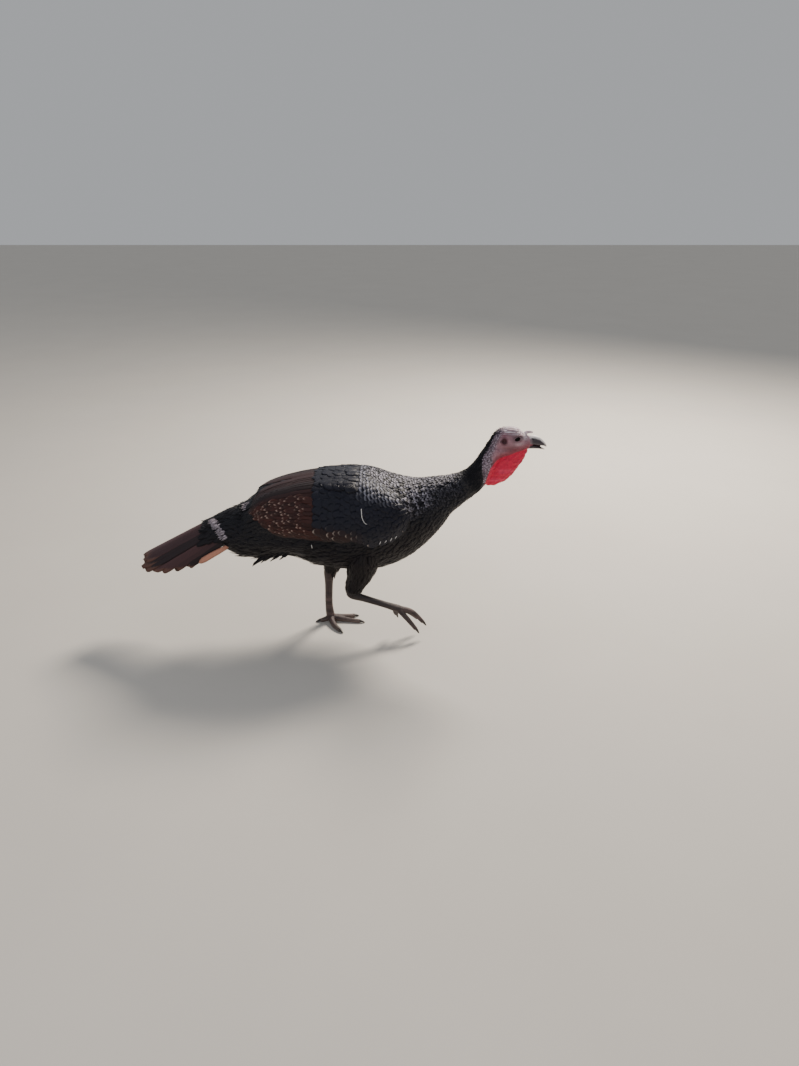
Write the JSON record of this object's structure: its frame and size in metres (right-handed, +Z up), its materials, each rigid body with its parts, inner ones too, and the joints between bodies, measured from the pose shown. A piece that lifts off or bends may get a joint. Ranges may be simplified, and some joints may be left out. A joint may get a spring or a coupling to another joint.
{
  "type": "turkey",
  "caption": "Life-size still model of a black domestic turkey hen in mid step, standing on the left foot with the right foot swung forward, neck reaching ahead and tail trailing folded.",
  "frame": {"origin": "on the floor under the left foot, which carries the bird", "axes": "+X from tail to head, +Y to the bird's left, +Z up"},
  "size_m": [0.8867, 0.2154, 0.4835],
  "materials": {
    "black_plumage": "satin black feathers with a blue and silver sheen",
    "brown_quills": "matt dark brown quill feathers with pale flecks",
    "bare_skin": "warty pinkish grey bare skin",
    "red_skin": "wrinkled bright red bare skin",
    "bill_horn": "satin horn, pale along the ridge and tip",
    "eye": "wet dark eye",
    "leg_scales": "brown grey scaly skin",
    "claw_horn": "dark satin horn"
  },
  "bodies": {
    "root": {"bill_lower": "bill_horn", "bill_upper": "bill_horn", "claw_hind_left": "claw_horn", "claw_hind_right": "claw_horn", "claw_inner_left": "claw_horn", "claw_inner_right": "claw_horn", "claw_middle_left": "claw_horn", "claw_middle_right": "claw_horn", "claw_outer_left": "claw_horn", "claw_outer_right": "claw_horn", "dewlap": "red_skin", "ear_left": "black_plumage", "ear_right": "black_plumage", "eye_left": "eye", "eye_right": "eye", "foot_pad_left": "leg_scales", "foot_pad_right": "leg_scales", "head": "bare_skin", "neck_lower": "black_plumage", "neck_upper": "bare_skin", "shank_left": "leg_scales", "shank_right": "leg_scales", "shin_left": "black_plumage", "shin_right": "black_plumage", "snood": "bare_skin", "tail": "black_plumage", "tail_coverts": "black_plumage", "toe_hind_left": "leg_scales", "toe_hind_right": "leg_scales", "toe_inner_left": "leg_scales", "toe_inner_right": "leg_scales", "toe_middle_left": "leg_scales", "toe_middle_right": "leg_scales", "toe_outer_left": "leg_scales", "toe_outer_right": "leg_scales", "trunk": "black_plumage", "wing_coverts_left": "black_plumage", "wing_coverts_right": "black_plumage", "wing_quills_left": "brown_quills", "wing_quills_right": "brown_quills"}
  },
  "joints": []
}
